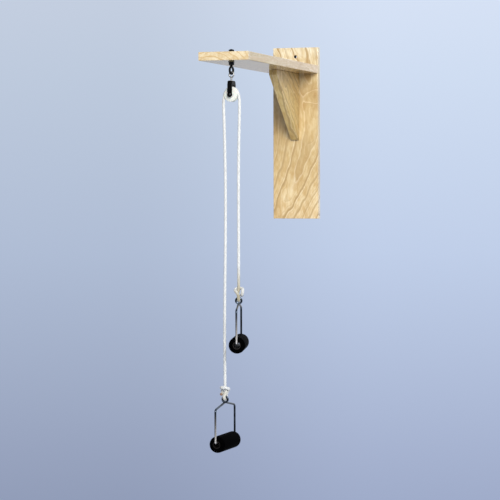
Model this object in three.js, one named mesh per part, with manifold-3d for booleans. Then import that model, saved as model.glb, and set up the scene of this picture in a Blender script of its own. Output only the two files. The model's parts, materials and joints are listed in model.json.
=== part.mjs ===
// Overhead exercise pulley on a wooden wall bracket, with a rope and two stirrup handles.
// Millimetres. X runs along the wall, +Y into the wall and +Z up. The origin is the middle of the
// backboard's back face, where the bracket meets the wall.
import * as THREE from "three";
import { mergeVertices } from "three/addons/utils/BufferGeometryUtils.js";
import Module from "manifold-3d";

// Shared values
const gap = 0.3; // between two pieces that touch or run on each other
const overrun = 2; // how far a cutter passes the faces that it opens
const roundSides = 24; // facets round a turned piece, and fewer round the small ones below
const screwSides = 12;
const wireSides = 8;
const ropeSides = 8;
const easeSteps = 2; // facets across a rounded edge

// Wooden bracket
const board = { width: 114.3, height: 419.1, thickness: 19.05, ease: 1.2 };
const boardTop = board.height / 2;
const mountHole = { diameter: 7.5, drop: 22.2 };
const arm = { length: 558.8, thickness: 19.05, drop: 44.45, ease: 1.2 };
const armTop = boardTop - arm.drop;
const armUnder = armTop - arm.thickness;
const armBack = -board.thickness - gap;
const armFront = armBack - arm.length;
const gusset = { thickness: 19.05, reach: 190.5, drop: 162, nose: 12, toe: 7, ease: 0.8 };
const gussetTop = armUnder - gap;

// Countersunk wood screws, hidden in the joints of the bracket
const screw = { length: 50, shank: 4.2, head: 8.4, headDepth: 3, tip: 7, tipWidth: 0.8, sink: 0.8 };
const armScrew = { inset: 19.15 }; // from the side edges of the backboard
const gussetScrew = { upperDrop: 40, lowerDrop: 112 }; // below the gusset's top
const topScrew = { backReach: 45, frontReach: 125 }; // in front of the gusset's back

// Eye bolt through the arm
const bolt = { shank: 6.35, holeClearance: 0.4, setBack: 56, threadEnd: 1.2 };
const boltY = armFront + bolt.setBack;
const washer = { diameter: 14, thickness: 1.2 };
const nut = { flats: 11.1, height: 5.6, chamfer: 0.8 };
const boltEye = { wire: 4.8, hole: 10.4, drop: 8.9 }; // drop: from the arm's underside to the eye
const eyeTurn = THREE.MathUtils.degToRad(-12); // the eye's plane stands a little off the arm's length
const boltEyeRadius = (boltEye.hole + boltEye.wire) / 2;
const boltEyeZ = armUnder - boltEye.drop - boltEye.wire / 2 - boltEyeRadius;

// Swivel: a ring that hangs in the bolt's eye, with a stem headed over inside the pulley's crown
const swivel = { wire: 3, hole: 8.6, stem: 4, neck: 6.1, head: 8, headDepth: 2.6 };
const swivelRadius = (swivel.hole + swivel.wire) / 2;
const swivelPivotZ = boltEyeZ - boltEyeRadius + boltEye.wire / 2 + gap + swivel.wire / 2;
const swivelZ = swivelPivotZ - swivelRadius;
const swivelUnder = swivelZ - swivelRadius - swivel.wire / 2;

// Pulley block
const crown = { width: 10.8, depth: 30, height: 12, round: 3.5 };
const crownTop = swivelUnder - swivel.neck;
const leg = { thickness: 4.4, foot: 11.4, drop: 30.8, inside: 2 }; // drop: crown's top to the axle
const axleZ = crownTop - leg.drop;
const legInside = crown.depth / 2 - leg.thickness;
const axle = { diameter: 5, headWidth: 7.6, headHeight: 1.4 };

// Rope and sheave
const rope = { diameter: 6.5, pitchRadius: 15, runClearance: 0.35, step: 17 };
const ropeRadius = rope.diameter / 2;
const sheave = { flangeRise: 0.5, width: 13, lip: 1.3, hub: 13, bore: axle.diameter + 2 * gap };
const ropeLeaves = Math.PI / 7; // above the axle's level, where the stiff rope lifts off the sheave

// Rope routes, chosen by hand. The stiff rope stands off the sheave and then draws in.
// Beside the sheave: X, then the height over the axle. Falls: X, then Z.
const ropeSide = [[16.2, 0], [17.4, -6.5], [18.2, -12.5], [18.4, -19]];
const leftRoute = [
  [-18.4, 54.4], [-17.8, 30], [-16.8, 0], [-15.9, -40], [-15.2, -80], [-14.8, -120], [-14.7, -160],
  [-14.9, -200], [-15.3, -250], [-16, -300], [-16.7, -350], [-17.3, -400], [-17.7, -450],
  [-17.7, -500], [-17.4, -540], [-17.3, -566.7],
];
const rightRoute = [
  [18.4, 54.4], [18.4, 40], [18, 20], [17.4, 0], [16.8, -25], [16.3, -50], [15.9, -80], [15.6, -110],
  [15.5, -140], [15.4, -170], [15.4, -200], [15.4, -235], [15.4, -270], [15.3, -310], [15.2, -347.2],
];

// Stirrup handle
const grip = { diameter: 36.5, length: 105, round: 8 };
const core = { diameter: 18, wall: 2, inset: 2 };
const wire = {
  diameter: 4.5, endClearance: 1.2, inside: 18, bend: 8, footBend: 4.6, roofRise: 11, steps: 66,
};
const wireRadius = wire.diameter / 2;
const handleEye = { hole: 8, ropeGap: 0.5 };
const handleEyeRadius = (handleEye.hole + wire.diameter) / 2;

// Each handle hangs at its own height, turned a little on its rope
const handle = { knotToEye: 25.6, eyeToGrip: 101 }; // knot's top, eye's upper wire, grip's axis
const left = { name: "left", x: -17.3, knotTop: -567, turn: -4, knotTurn: 0 };
const right = { name: "right", x: 15.2, knotTop: -347.5, turn: 12.5, knotTurn: 180 };

// Knot, in the order that the rope runs: down to the handle's eye, through it, up behind itself,
// across its own front, round to the back again and out at one side
const knot = { steps: 72, sides: 8 };
const knotDown = [
  [0, 0, 0], [0, 0, -4], [0.3, 0, -7.6], [1.3, 0, -11.5], [2.2, -1, -15.5], [2, -3.4, -19.5],
  [0.7, -5.4, -22.8],
];
const knotUp = [
  [0.2, 6.9, -21.5], [1.3, 7.6, -17.4], [4, 7.4, -13.2], [7, 4.4, -10], [7.6, -0.8, -7.6],
  [4.8, -5.8, -5.7], [-0.4, -7.6, -5], [-5.4, -6, -5.2], [-8.4, -1.8, -6.4], [-9.2, 3.4, -8.4],
  [-9, 6.2, -12.4], [-8, 5, -16.6], [-6.6, 0.6, -18.8], [-6, -4.4, -19.4], [-6.2, -7.6, -20.4],
];

// Materials
const finish = (color, roughness, metalness) =>
  new THREE.MeshStandardMaterial({ color, roughness, metalness });
const pine = finish(0xe6cb98, 0.6, 0);
const blackSteel = finish(0x1c1e22, 0.4, 0.8);
const zincSteel = finish(0x8d9094, 0.4, 1);
const blackCasting = finish(0x14161a, 0.45, 0.3);
const whiteNylon = finish(0xf2f1ec, 0.35, 0);
const whiteRope = finish(0xf0efea, 0.85, 0);
const chromeWire = finish(0xb9bdc2, 0.15, 1);
const blackFoam = finish(0x121314, 0.7, 0);
const greyPlastic = finish(0x2a2c2e, 0.5, 0);

// Joining and cutting closed meshes
const wasm = await Module();
wasm.setup();

function solid(geometry) {
  const bare = geometry.clone();
  bare.deleteAttribute("normal");
  bare.deleteAttribute("uv");
  const merged = mergeVertices(bare);
  const vertProperties = merged.attributes.position.array;
  const triVerts = new Uint32Array(merged.index.array);
  return new wasm.Manifold(new wasm.Mesh({ numProp: 3, vertProperties, triVerts }));
}

function surface(body) {
  const made = body.getMesh();
  const geometry = new THREE.BufferGeometry();
  geometry.setAttribute("position", new THREE.BufferAttribute(made.vertProperties, made.numProp));
  geometry.setIndex(new THREE.BufferAttribute(made.triVerts, 1));
  return geometry.toNonIndexed();
}

const cut = (body, ...cutters) => surface(cutters.reduce((b, c) => b.subtract(solid(c)), solid(body)));
const join = (body, ...others) => surface(others.reduce((b, o) => b.add(solid(o)), solid(body)));
const common = (body, other) => surface(solid(body).intersect(solid(other)));

// Ways to place a shape: axes of the drawing, then of its thickness
const alongX = new THREE.Matrix4().makeBasis(
  new THREE.Vector3(0, 1, 0),
  new THREE.Vector3(0, 0, 1),
  new THREE.Vector3(1, 0, 0),
);
const alongY = new THREE.Matrix4().makeBasis(
  new THREE.Vector3(1, 0, 0),
  new THREE.Vector3(0, 0, 1),
  new THREE.Vector3(0, -1, 0),
);

// A prism with eased edges, centred on its own thickness, that stays inside its outline
function prism(shape, thickness, ease) {
  const geometry = new THREE.ExtrudeGeometry(shape, {
    depth: thickness - 2 * ease,
    bevelEnabled: ease > 0,
    bevelThickness: ease,
    bevelSize: ease,
    bevelOffset: -ease,
    bevelSegments: easeSteps,
    curveSegments: roundSides / 4,
  });
  return geometry.translate(0, 0, ease - thickness / 2);
}

function rectangle(width, height) {
  const shape = new THREE.Shape();
  shape.moveTo(-width / 2, -height / 2);
  shape.lineTo(width / 2, -height / 2);
  shape.lineTo(width / 2, height / 2);
  shape.lineTo(-width / 2, height / 2);
  shape.closePath();
  return shape;
}

// A turned solid about +Z from [radius, height] points that start and end on the axis or close
function turned(points, sides = roundSides) {
  return new THREE.LatheGeometry(
    points.map(([radius, height]) => new THREE.Vector2(radius, height)),
    sides,
  ).rotateX(Math.PI / 2);
}

const pin = (diameter, low, high, sides = roundSides) =>
  turned([[0, low], [diameter / 2, low], [diameter / 2, high], [0, high]], sides);

// A round section swept along a curve, with flat ends square to it
function tube(curve, diameter, steps, sides) {
  const section = new THREE.Shape();
  for (let i = 0; i < sides; i++) {
    const angle = ((i + 0.5) / sides) * 2 * Math.PI;
    const point = [Math.cos(angle) * diameter / 2, Math.sin(angle) * diameter / 2];
    if (i) section.lineTo(...point);
    else section.moveTo(...point);
  }
  section.closePath();
  return new THREE.ExtrudeGeometry(section, { steps, extrudePath: curve, bevelEnabled: false });
}

// A closed ring of round wire about the X axis
const wireRing = (radius, wireDiameter) =>
  new THREE.TorusGeometry(radius, wireDiameter / 2, wireSides, roundSides).rotateY(Math.PI / 2);

const piece = (name, geometry, material) => {
  const mesh = new THREE.Mesh(geometry, material);
  mesh.name = name;
  return mesh;
};

// Wood

const screwHole = () => {
  const wide = screw.head / 2 + gap;
  const narrow = screw.shank / 2 + gap;
  const mouth = screw.sink;
  return turned([
    [0, -screw.length - gap],
    [narrow, -screw.length - gap],
    [narrow, -screw.headDepth - gap],
    [wide, 0],
    [wide, mouth + overrun],
    [0, mouth + overrun],
  ], screwSides);
};

const woodScrew = () =>
  turned([
    [0, -screw.length],
    [screw.tipWidth / 2, -screw.length],
    [screw.shank / 2, screw.tip - screw.length],
    [screw.shank / 2, -screw.headDepth],
    [screw.head / 2, 0],
    [0, 0],
  ], screwSides);

// Screws come in from the wall side along -Y, or down through the arm
const fromWall = (x, z) => (geometry) =>
  geometry.rotateX(-Math.PI / 2).translate(x, -screw.sink, z);
const fromTop = (y) => (geometry) => geometry.translate(0, y, armTop - screw.sink);

const screwPlaces = {
  arm_screw_left: fromWall(armScrew.inset - board.width / 2, armTop - arm.thickness / 2),
  arm_screw_right: fromWall(board.width / 2 - armScrew.inset, armTop - arm.thickness / 2),
  gusset_screw_upper: fromWall(0, gussetTop - gussetScrew.upperDrop),
  gusset_screw_lower: fromWall(0, gussetTop - gussetScrew.lowerDrop),
  top_screw_back: fromTop(armBack - topScrew.backReach),
  top_screw_front: fromTop(armBack - topScrew.frontReach),
};
const screwHoles = () => Object.values(screwPlaces).map((place) => place(screwHole()));

function backboard() {
  const slab = prism(rectangle(board.width, board.height), board.thickness, board.ease)
    .applyMatrix4(alongY)
    .translate(0, -board.thickness / 2, 0);
  const hole = pin(mountHole.diameter, -overrun, board.thickness + overrun)
    .rotateX(Math.PI / 2)
    .translate(0, 0, boardTop - mountHole.drop);
  return piece("backboard", cut(slab, hole, ...screwHoles()), pine);
}

function armBoard() {
  const slab = prism(rectangle(board.width, arm.length), arm.thickness, arm.ease)
    .translate(0, (armBack + armFront) / 2, (armTop + armUnder) / 2);
  const boltHole = pin(bolt.shank + 2 * bolt.holeClearance, armUnder - overrun, armTop + overrun)
    .translate(0, boltY, 0);
  return piece("arm_board", cut(slab, boltHole, ...screwHoles()), pine);
}

function gussetBoard() {
  const outline = new THREE.Shape();
  outline.moveTo(0, 0);
  outline.lineTo(-gusset.reach, 0);
  outline.lineTo(-gusset.reach, -gusset.nose);
  outline.lineTo(-gusset.toe, -gusset.drop);
  outline.lineTo(0, -gusset.drop);
  outline.closePath();
  const web = prism(outline, gusset.thickness, gusset.ease)
    .applyMatrix4(alongX)
    .translate(0, armBack, gussetTop);
  return piece("gusset", cut(web, ...screwHoles()), pine);
}

const woodScrews = () =>
  Object.entries(screwPlaces).map(([name, place]) => piece(name, place(woodScrew()), zincSteel));

// Eye bolt, its washers and its nuts

function eyeBolt() {
  const top = armTop + gap + washer.thickness + gap + nut.height + bolt.threadEnd;
  const shankEnd = boltEyeZ + boltEyeRadius;
  const shank = turned([
    [0, shankEnd],
    [boltEye.wire / 2, shankEnd],
    [bolt.shank / 2, shankEnd + boltEye.wire / 2],
    [bolt.shank / 2, top],
    [0, top],
  ]);
  const eye = wireRing(boltEyeRadius, boltEye.wire).rotateZ(eyeTurn).translate(0, 0, boltEyeZ);
  return piece("eye_bolt", join(shank, eye).translate(0, boltY, 0), blackSteel);
}

function flatWasher(name, under) {
  const inner = bolt.shank / 2 + gap;
  const outer = washer.diameter / 2;
  const ring = turned([
    [inner, under],
    [outer, under],
    [outer, under + washer.thickness],
    [inner, under + washer.thickness],
    [inner, under],
  ]);
  return piece(name, ring.translate(0, boltY, 0), blackSteel);
}

function hexNut(name, under) {
  const corner = nut.flats / Math.sqrt(3);
  const hexagon = new THREE.Shape();
  for (let i = 0; i < 6; i++) {
    const angle = (i * Math.PI) / 3;
    if (i) hexagon.lineTo(corner * Math.cos(angle), corner * Math.sin(angle));
    else hexagon.moveTo(corner, 0);
  }
  hexagon.closePath();
  const block = prism(hexagon, nut.height, 0);
  const dome = turned([
    [0, -nut.height / 2],
    [nut.flats / 2, -nut.height / 2],
    [corner, -nut.height / 2 + nut.chamfer],
    [corner, nut.height / 2 - nut.chamfer],
    [nut.flats / 2, nut.height / 2],
    [0, nut.height / 2],
  ]);
  const hole = pin(bolt.shank + 2 * gap, -nut.height / 2 - overrun, nut.height / 2 + overrun);
  const made = cut(common(block, dome), hole);
  return piece(name, made.translate(0, boltY, under + nut.height / 2), blackSteel);
}

function boltFastenings() {
  const washerTop = armTop + gap;
  const washerUnder = armUnder - gap - washer.thickness;
  return [
    flatWasher("top_washer", washerTop),
    hexNut("top_nut", washerTop + washer.thickness + gap),
    flatWasher("lower_washer", washerUnder),
    hexNut("lower_nut", washerUnder - gap - nut.height),
  ];
}

// Swivel and pulley block

function swivelEye() {
  const ring = wireRing(swivelRadius, swivel.wire)
    .rotateZ(Math.PI / 2 + eyeTurn)
    .translate(0, 0, swivelZ);
  const headTop = crownTop - crown.height + swivel.headDepth + gap;
  const stem = pin(swivel.stem, headTop - swivel.headDepth / 2, swivelZ - swivelRadius);
  const head = turned([
    [0, headTop - swivel.headDepth],
    [swivel.head / 2 - swivel.headDepth / 2, headTop - swivel.headDepth],
    [swivel.head / 2, headTop - swivel.headDepth / 2],
    [swivel.head / 2, headTop],
    [0, headTop],
  ]);
  return piece("swivel_eye", join(ring, stem, head).translate(0, boltY, 0), zincSteel);
}

// Front view: a crown with rounded shoulders over two legs that swell to a round foot
function blockFront() {
  const half = crown.width / 2;
  const foot = leg.foot / 2;
  const shape = new THREE.Shape();
  shape.moveTo(half, crownTop - crown.round);
  shape.absarc(half - crown.round, crownTop - crown.round, crown.round, 0, Math.PI / 2, false);
  shape.absarc(crown.round - half, crownTop - crown.round, crown.round, Math.PI / 2, Math.PI, false);
  shape.lineTo(-half, crownTop - crown.height);
  shape.absarc(0, axleZ, foot, Math.PI, 2 * Math.PI, false);
  shape.lineTo(half, crownTop - crown.height);
  shape.closePath();
  return shape;
}

// Side view: the crown bridges the legs, with rounded shoulders and a round-cornered mouth
function blockSide() {
  const half = crown.depth / 2;
  const under = crownTop - crown.height;
  const foot = axleZ - leg.foot;
  const shape = new THREE.Shape();
  shape.moveTo(half, crownTop - crown.round);
  shape.absarc(half - crown.round, crownTop - crown.round, crown.round, 0, Math.PI / 2, false);
  shape.absarc(crown.round - half, crownTop - crown.round, crown.round, Math.PI / 2, Math.PI, false);
  shape.lineTo(-half, foot);
  shape.lineTo(-legInside, foot);
  shape.absarc(leg.inside - legInside, under - leg.inside, leg.inside, Math.PI, Math.PI / 2, true);
  shape.absarc(legInside - leg.inside, under - leg.inside, leg.inside, Math.PI / 2, 0, true);
  shape.lineTo(legInside, foot);
  shape.lineTo(half, foot);
  shape.closePath();
  return shape;
}

function pulleyHousing() {
  const front = prism(blockFront(), crown.depth, 0).applyMatrix4(alongY);
  const side = prism(blockSide(), leg.foot, 0).applyMatrix4(alongX);
  const seat = crownTop - crown.height + swivel.headDepth + 2 * gap;
  const stemHole = pin(swivel.stem + 2 * gap, seat - overrun, crownTop + overrun);
  const headPocket = pin(swivel.head + 2 * gap, crownTop - crown.height - overrun, seat);
  const axleHole = pin(axle.diameter + 2 * gap, -crown.depth, crown.depth)
    .rotateX(Math.PI / 2)
    .translate(0, 0, axleZ);
  const made = cut(common(front, side), stemHole, headPocket, axleHole);
  return piece("pulley_housing", made.translate(0, boltY, 0), blackCasting);
}

function sheaveAxle() {
  const seat = crown.depth / 2 + gap;
  const end = seat + axle.headHeight;
  const shoulder = axle.headWidth / 2 - axle.headHeight / 2;
  const profile = [
    [0, -end],
    [shoulder, -end],
    [axle.headWidth / 2, -end + axle.headHeight / 2],
    [axle.headWidth / 2, -seat],
    [axle.diameter / 2, -seat],
    [axle.diameter / 2, seat],
    [axle.headWidth / 2, seat],
    [axle.headWidth / 2, end - axle.headHeight / 2],
    [shoulder, end],
    [0, end],
  ];
  const made = turned(profile).rotateX(Math.PI / 2).translate(0, boltY, axleZ);
  return piece("sheave_axle", made, blackSteel);
}

function sheaveWheel() {
  const halfWidth = sheave.width / 2;
  const hubHalf = legInside - gap;
  const flangeRadius = rope.pitchRadius + sheave.flangeRise;
  const groove = ropeRadius + rope.runClearance;
  const mouth = halfWidth - sheave.lip;
  const grooveSteps = 8;
  const profile = [
    [sheave.bore / 2, -hubHalf],
    [sheave.hub / 2, -hubHalf],
    [sheave.hub / 2, -halfWidth],
    [flangeRadius - sheave.lip, -halfWidth],
    [flangeRadius, -halfWidth + sheave.lip],
    [flangeRadius, -mouth],
  ];
  for (let i = 0; i <= grooveSteps; i++) {
    const angle = (i / grooveSteps - 1 / 2) * Math.PI;
    profile.push([rope.pitchRadius - groove * Math.cos(angle), groove * Math.sin(angle)]);
  }
  profile.push(
    [flangeRadius, mouth],
    [flangeRadius, halfWidth - sheave.lip],
    [flangeRadius - sheave.lip, halfWidth],
    [sheave.hub / 2, halfWidth],
    [sheave.hub / 2, hubHalf],
    [sheave.bore / 2, hubHalf],
    [sheave.bore / 2, -hubHalf],
  );
  const made = turned(profile).rotateX(Math.PI / 2).translate(0, boltY, axleZ);
  return piece("sheave", made, whiteNylon);
}

// Rope

const routeCurve = (route) =>
  new THREE.CatmullRomCurve3(route.map(([x, z]) => new THREE.Vector3(x, boltY, z)), false, "centripetal");

function ropeOverSheave() {
  const arcSteps = 8;
  const nearSide = ropeSide.map(([x, rise]) => [x, axleZ + rise]);
  const farSide = ropeSide.map(([x, rise]) => [-x, axleZ + rise]);
  const over = [];
  for (let i = 0; i <= arcSteps; i++) {
    const angle = ropeLeaves + (i / arcSteps) * (Math.PI - 2 * ropeLeaves);
    over.push([rope.pitchRadius * Math.cos(angle), axleZ + rope.pitchRadius * Math.sin(angle)]);
  }
  const curve = routeCurve([...nearSide.reverse(), ...over, ...farSide]);
  const steps = Math.ceil(curve.getLength() / (rope.diameter / 2));
  return piece("rope_over_sheave", tube(curve, rope.diameter, steps, ropeSides), whiteRope);
}

function ropeFall(name, route) {
  const curve = routeCurve(route);
  const steps = Math.ceil(curve.getLength() / rope.step);
  return piece(name, tube(curve, rope.diameter, steps, ropeSides), whiteRope);
}

// Knot

function knotCurve() {
  const points = knotDown.map((p) => new THREE.Vector3(...p));
  const loopRadius = wireRadius + handleEye.ropeGap + ropeRadius;
  const loopSteps = 6;
  for (let i = 0; i <= loopSteps; i++) {
    const angle = (i / loopSteps) * Math.PI;
    const forward = -loopRadius * Math.cos(angle);
    points.push(new THREE.Vector3(0, forward, -handle.knotToEye - loopRadius * Math.sin(angle)));
  }
  points.push(...knotUp.map((p) => new THREE.Vector3(...p)));
  return new THREE.CatmullRomCurve3(points, false, "centripetal");
}

// Least gap of a tube to itself, on points that lie further apart along it than it is thick
function leastGap(curve, diameter) {
  const points = curve.getSpacedPoints(knot.steps * 4);
  const spacing = curve.getLength() / (points.length - 1);
  const apart = Math.ceil((Math.PI / 2) * diameter / spacing);
  let least = Infinity;
  for (let i = 0; i < points.length; i++)
    for (let j = i + apart; j < points.length; j++)
      least = Math.min(least, points[i].distanceTo(points[j]) - diameter);
  return least;
}

// Handle, drawn with its rope on the Z axis and the grip along Y

const gripZ = -handle.knotToEye - handle.eyeToGrip;
const coreInside = core.diameter / 2 - core.wall;
const footZ = gripZ + coreInside - gap - wireRadius; // the grip's tube hangs on the wire's two feet
const eyeZ = -handle.knotToEye - handleEyeRadius;

// Straight lines in the handle's YZ plane, from corners of Y, Z and the radius of the bend there
function bentWire(corners) {
  const path = new THREE.CurvePath();
  const points = corners.map(([y, z]) => new THREE.Vector3(0, y, z));
  let from = points[0];
  for (let i = 1; i < points.length - 1; i++) {
    const before = points[i - 1].clone().sub(points[i]).normalize();
    const after = points[i + 1].clone().sub(points[i]).normalize();
    const cutBack = corners[i][2] / Math.tan(before.angleTo(after) / 2);
    const enter = points[i].clone().addScaledVector(before, cutBack);
    const leave = points[i].clone().addScaledVector(after, cutBack);
    path.add(new THREE.LineCurve3(from, enter));
    path.add(new THREE.QuadraticBezierCurve3(enter, points[i], leave));
    from = leave;
  }
  path.add(new THREE.LineCurve3(from, points[points.length - 1]));
  return path;
}

function stirrup(name) {
  const legY = grip.length / 2 + wire.endClearance + wireRadius;
  const insideY = grip.length / 2 - wire.inside;
  const apexZ = eyeZ - handleEyeRadius;
  const roofZ = apexZ - wire.roofRise;
  const corners = [
    [-insideY, footZ], [-legY, footZ, wire.footBend], [-legY, roofZ, wire.bend], [0, apexZ, wire.bend],
    [legY, roofZ, wire.bend], [legY, footZ, wire.footBend], [insideY, footZ],
  ];
  const bail = tube(bentWire(corners), wire.diameter, wire.steps, wireSides);
  const eye = wireRing(handleEyeRadius, wire.diameter).rotateZ(Math.PI / 2).translate(0, 0, eyeZ);
  return piece(name, join(bail, eye), chromeWire);
}

function gripSleeve(name) {
  const radius = grip.diameter / 2;
  const half = grip.length / 2;
  const roundSteps = 4;
  const bore = core.diameter / 2 + gap;
  const profile = [[bore, -half]];
  for (let i = 0; i <= roundSteps; i++) {
    const angle = (i / roundSteps) * (Math.PI / 2);
    const out = grip.round * Math.sin(angle);
    profile.push([radius - grip.round + out, -half + grip.round - grip.round * Math.cos(angle)]);
  }
  for (let i = roundSteps; i >= 0; i--) {
    const angle = (i / roundSteps) * (Math.PI / 2);
    const out = grip.round * Math.sin(angle);
    profile.push([radius - grip.round + out, half - grip.round + grip.round * Math.cos(angle)]);
  }
  profile.push([bore, half], [bore, -half]);
  return piece(name, turned(profile).rotateX(Math.PI / 2).translate(0, 0, gripZ), blackFoam);
}

function gripCore(name) {
  const half = grip.length / 2 - core.inset;
  const outside = core.diameter / 2;
  const ring = turned([
    [coreInside, -half], [outside, -half], [outside, half], [coreInside, half], [coreInside, -half],
  ]);
  return piece(name, ring.rotateX(Math.PI / 2).translate(0, 0, gripZ), greyPlastic);
}

function handleSet({ name, x, knotTop, turn, knotTurn }) {
  const group = new THREE.Group();
  const tiedRope = tube(knotCurve(), rope.diameter, knot.steps, knot.sides)
    .rotateZ(THREE.MathUtils.degToRad(knotTurn));
  group.add(
    piece(name + "_knot", tiedRope, whiteRope),
    stirrup(name + "_stirrup"),
    gripSleeve(name + "_grip"),
    gripCore(name + "_grip_core"),
  );
  group.position.set(x, boltY, knotTop);
  group.rotation.z = THREE.MathUtils.degToRad(turn);
  return group;
}

console.log("least gap of the knot's rope to itself", leastGap(knotCurve(), rope.diameter).toFixed(2));

const overheadPulley = new THREE.Group();
overheadPulley.add(
  backboard(),
  armBoard(),
  gussetBoard(),
  ...woodScrews(),
  eyeBolt(),
  ...boltFastenings(),
  swivelEye(),
  pulleyHousing(),
  sheaveAxle(),
  sheaveWheel(),
  ropeOverSheave(),
  ropeFall("left_rope_fall", leftRoute),
  ropeFall("right_rope_fall", rightRoute),
  handleSet(left),
  handleSet(right),
);

export default overheadPulley;
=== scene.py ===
import json
import math

import bpy
from mathutils import Matrix, Vector


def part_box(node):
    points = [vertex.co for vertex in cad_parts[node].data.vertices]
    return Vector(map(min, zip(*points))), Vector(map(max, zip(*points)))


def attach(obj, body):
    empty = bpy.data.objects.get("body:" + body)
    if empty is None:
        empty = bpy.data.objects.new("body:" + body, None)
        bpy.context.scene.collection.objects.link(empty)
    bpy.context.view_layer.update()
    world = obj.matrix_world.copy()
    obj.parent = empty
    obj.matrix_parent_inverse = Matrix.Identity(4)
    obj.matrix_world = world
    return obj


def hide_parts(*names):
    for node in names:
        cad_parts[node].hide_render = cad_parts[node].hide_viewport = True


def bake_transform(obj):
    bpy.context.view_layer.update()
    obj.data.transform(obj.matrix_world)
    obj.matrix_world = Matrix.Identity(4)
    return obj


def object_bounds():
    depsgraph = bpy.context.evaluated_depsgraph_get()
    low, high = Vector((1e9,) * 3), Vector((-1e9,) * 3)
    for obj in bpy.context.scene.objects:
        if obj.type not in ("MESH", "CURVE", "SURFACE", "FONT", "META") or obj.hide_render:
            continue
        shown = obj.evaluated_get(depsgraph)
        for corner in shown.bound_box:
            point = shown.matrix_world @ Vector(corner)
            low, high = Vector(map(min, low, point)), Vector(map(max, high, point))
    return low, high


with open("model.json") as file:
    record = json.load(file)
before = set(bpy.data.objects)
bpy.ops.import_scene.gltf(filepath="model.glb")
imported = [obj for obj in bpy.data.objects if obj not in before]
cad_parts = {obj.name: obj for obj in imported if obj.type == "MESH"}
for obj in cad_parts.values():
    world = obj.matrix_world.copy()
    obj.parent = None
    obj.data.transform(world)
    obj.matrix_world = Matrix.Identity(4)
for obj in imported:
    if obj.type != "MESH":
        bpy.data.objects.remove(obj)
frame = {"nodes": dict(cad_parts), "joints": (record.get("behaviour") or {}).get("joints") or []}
cad_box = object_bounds()
nodes = frame["nodes"]
joints = {joint["name"]: joint for joint in frame["joints"]}
bpy.ops.object.select_all(action="DESELECT")

full_turn = 2 * math.pi
quarter_turn = math.pi / 2
hair = 0.00002  # metres, for welding points that meet

# Camera: a long lens to the right of the bracket, turned back to it and tipped a little down
camera_place = (1.27949, -4.41798, -0.10769)
camera_turn = math.radians(17.6279)
camera_dip = math.radians(2.2366)
camera_roll = math.radians(-0.1686)
camera_lens = 134.0

bpy.ops.object.camera_add()
camera = bpy.context.object
camera.matrix_world = (
    Matrix.Translation(camera_place)
    @ Matrix.Rotation(camera_turn, 4, "Z")
    @ Matrix.Rotation(quarter_turn - camera_dip, 4, "X")
    @ Matrix.Rotation(camera_roll, 4, "Z")
)
camera.data.lens = camera_lens
bpy.context.scene.camera = camera

# Rope, with its route in metres. Beside the sheave: X, then the height over the axle. Falls: X, then Z
rope_diameter = 0.0065
pitch_radius = 0.015
rope_leaves = math.pi / 7  # from level, where it leaves its arc over the sheave
arc_steps = 8
beside_sheave = [(0.0162, 0.0), (0.0174, -0.0065), (0.0182, -0.0125)]
left_route = [
    (-0.0184, 0.0544), (-0.0178, 0.03), (-0.0168, 0.0), (-0.0159, -0.04), (-0.0152, -0.08),
    (-0.0148, -0.12), (-0.0147, -0.16), (-0.0149, -0.2), (-0.0153, -0.25), (-0.016, -0.3),
    (-0.0167, -0.35), (-0.0173, -0.4), (-0.0177, -0.45), (-0.0177, -0.5), (-0.0174, -0.54),
    (-0.0173, -0.5667),
]
right_route = [
    (0.0184, 0.0544), (0.0184, 0.04), (0.018, 0.02), (0.0174, 0.0), (0.0168, -0.025),
    (0.0163, -0.05), (0.0159, -0.08), (0.0156, -0.11), (0.0155, -0.14), (0.0154, -0.17),
    (0.0154, -0.2), (0.0154, -0.235), (0.0154, -0.27), (0.0153, -0.31), (0.0152, -0.3472),
]

# Knot, in metres, with its rope coming down the Z axis to the handle's eye and up again behind
knot_to_eye = 0.0256
wire_diameter = 0.0045
eye_rope_gap = 0.0005
knot_down = [
    (0, 0, 0), (0, 0, -0.004), (0.0003, 0, -0.0076), (0.0013, 0, -0.0115), (0.0022, -0.001, -0.0155),
    (0.002, -0.0034, -0.0195), (0.0007, -0.0054, -0.0228),
]
knot_up = [
    (0.0002, 0.0069, -0.0215), (0.0013, 0.0076, -0.0174), (0.004, 0.0074, -0.0132),
    (0.007, 0.0044, -0.01), (0.0076, -0.0008, -0.0076), (0.0048, -0.0058, -0.0057),
    (-0.0004, -0.0076, -0.005), (-0.0054, -0.006, -0.0052), (-0.0084, -0.0018, -0.0064),
    (-0.0092, 0.0034, -0.0084), (-0.009, 0.0062, -0.0124), (-0.008, 0.005, -0.0166),
    (-0.0066, 0.0006, -0.0188), (-0.006, -0.0044, -0.0194), (-0.0062, -0.0076, -0.0204),
]
knot_turns = {"left": 0, "right": math.pi}  # the right one shows its back
knot_swell = 0.00022  # what its bends add to the rope's radius
knot_swell_run = 0.006
rope_gap = 0.00027  # how much higher than its place the knot's rope starts, to meet the fall

# Braid: strands that run each way round the rope, and how far a strand runs in one crossing. A real one
# has more and finer strands: these are drawn coarser, so that they show
braid_strands = 6
braid_cell = 0.005
braid_relief = 0.0006
braid_sides = 7 * braid_strands
braid_step = 0.00065
strand_fall = 0.92  # how steeply a strand falls off to its sides
strand_dip = 0.4  # how deep it dips to pass under the next
other_way = 100  # keeps the numbers of the strands that run the other way apart
tone_spread = 0.618  # scatters the strands' tones
rope_marks = ("groove", "tone", "painted_shade")


def middle(node):
    """The middle of a CAD node's box"""
    low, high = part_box(node)
    return (low + high) / 2


axle_place = middle("sheave_axle")


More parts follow.
